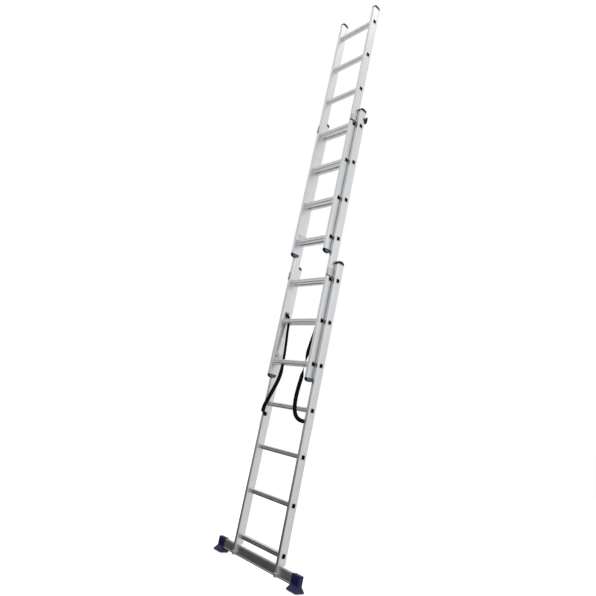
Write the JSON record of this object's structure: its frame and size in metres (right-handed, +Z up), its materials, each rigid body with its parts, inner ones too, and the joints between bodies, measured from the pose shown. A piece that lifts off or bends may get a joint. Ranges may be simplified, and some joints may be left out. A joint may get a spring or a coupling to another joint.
{
  "type": "extension ladder",
  "caption": "Aluminium extension ladder with nested sliding sections, a stabiliser bar with plastic feet, rung hooks and webbing spread straps.",
  "frame": {"origin": "on the floor under the stabiliser feet, at the middle of the ladder's box as shown extended", "axes": "+Z up along the stiles, +X to the climber's right, +Y to the wall side; the climber stands on the -Y side"},
  "size_m": [0.82, 0.156, 3.9183],
  "materials": {
    "stile_aluminium": "mill-finish extruded aluminium",
    "rung_aluminium": "mill-finish ribbed aluminium",
    "bar_aluminium": "mill-finish extruded aluminium, duller",
    "zinc_steel": "zinc-plated sheet steel",
    "blue_plastic": "moulded navy plastic",
    "dark_plastic": "moulded dark blue-grey plastic",
    "black_plastic": "black plastic-coated steel",
    "black_webbing": "woven black webbing"
  },
  "bodies": {
    "base": {"base_rung_1": "rung_aluminium", "base_rung_2": "rung_aluminium", "base_rung_3": "rung_aluminium", "base_rung_4": "rung_aluminium", "base_rung_5": "rung_aluminium", "base_rung_6": "rung_aluminium", "base_rung_7": "rung_aluminium", "stabiliser_bar": "bar_aluminium", "base_stile_left": "stile_aluminium", "base_cap_left": "dark_plastic", "base_guide_left": "zinc_steel", "stabiliser_bolt_left": "zinc_steel", "stabiliser_foot_left": "blue_plastic", "spread_strap_left": "black_webbing", "base_stile_right": "stile_aluminium", "base_cap_right": "dark_plastic", "base_guide_right": "zinc_steel", "stabiliser_bolt_right": "zinc_steel", "stabiliser_foot_right": "blue_plastic", "spread_strap_right": "black_webbing"},
    "middle": {"middle_rung_1": "rung_aluminium", "middle_rung_2": "rung_aluminium", "middle_rung_3": "rung_aluminium", "middle_rung_4": "rung_aluminium", "middle_rung_5": "rung_aluminium", "middle_rung_6": "rung_aluminium", "middle_rung_7": "rung_aluminium", "middle_stile_left": "stile_aluminium", "middle_cap_left": "dark_plastic", "middle_shoe_left": "dark_plastic", "middle_guide_left": "zinc_steel", "middle_claw_left": "black_plastic", "middle_hook_pin_left": "zinc_steel", "middle_stile_right": "stile_aluminium", "middle_cap_right": "dark_plastic", "middle_shoe_right": "dark_plastic", "middle_guide_right": "zinc_steel", "middle_claw_right": "black_plastic", "middle_hook_pin_right": "zinc_steel"},
    "top": {"top_rung_1": "rung_aluminium", "top_rung_2": "rung_aluminium", "top_rung_3": "rung_aluminium", "top_rung_4": "rung_aluminium", "top_rung_5": "rung_aluminium", "top_rung_6": "rung_aluminium", "top_rung_7": "rung_aluminium", "top_stile_left": "stile_aluminium", "top_cap_left": "dark_plastic", "top_shoe_left": "dark_plastic", "top_hook_pin_left": "zinc_steel", "top_stile_right": "stile_aluminium", "top_cap_right": "dark_plastic", "top_shoe_right": "dark_plastic", "top_hook_pin_right": "zinc_steel"},
    "middle_hook_left": {"middle_hook_left": "zinc_steel"},
    "middle_hook_right": {"middle_hook_right": "zinc_steel"},
    "top_hook_left": {"top_hook_left": "zinc_steel"},
    "top_hook_right": {"top_hook_right": "zinc_steel"}
  },
  "joints": [
    {"name": "middle_slide", "type": "slide", "parent": "base", "child": "middle", "axis": [0, 0, 1], "range_m": [-1.12, 0], "deforming": ["spread_strap_left", "spread_strap_right"]},
    {"name": "top_slide", "type": "slide", "parent": "middle", "child": "top", "axis": [0, 0, 1], "range_m": [-0.84, 0.28]},
    {"name": "middle_hook_left_swing", "type": "hinge", "parent": "middle", "child": "middle_hook_left", "pos_m": [-0.1715, 0.00195, 1.308], "axis": [1, 0, 0], "range_deg": [0, 130]},
    {"name": "middle_hook_right_swing", "type": "hinge", "parent": "middle", "child": "middle_hook_right", "pos_m": [0.1715, 0.00195, 1.308], "axis": [1, 0, 0], "range_deg": [0, 130]},
    {"name": "top_hook_left_swing", "type": "hinge", "parent": "top", "child": "top_hook_left", "pos_m": [-0.1465, -0.04405, 2.148], "axis": [1, 0, 0], "range_deg": [0, 130]},
    {"name": "top_hook_right_swing", "type": "hinge", "parent": "top", "child": "top_hook_right", "pos_m": [0.1465, -0.04405, 2.148], "axis": [1, 0, 0], "range_deg": [0, 130]}
  ]
}
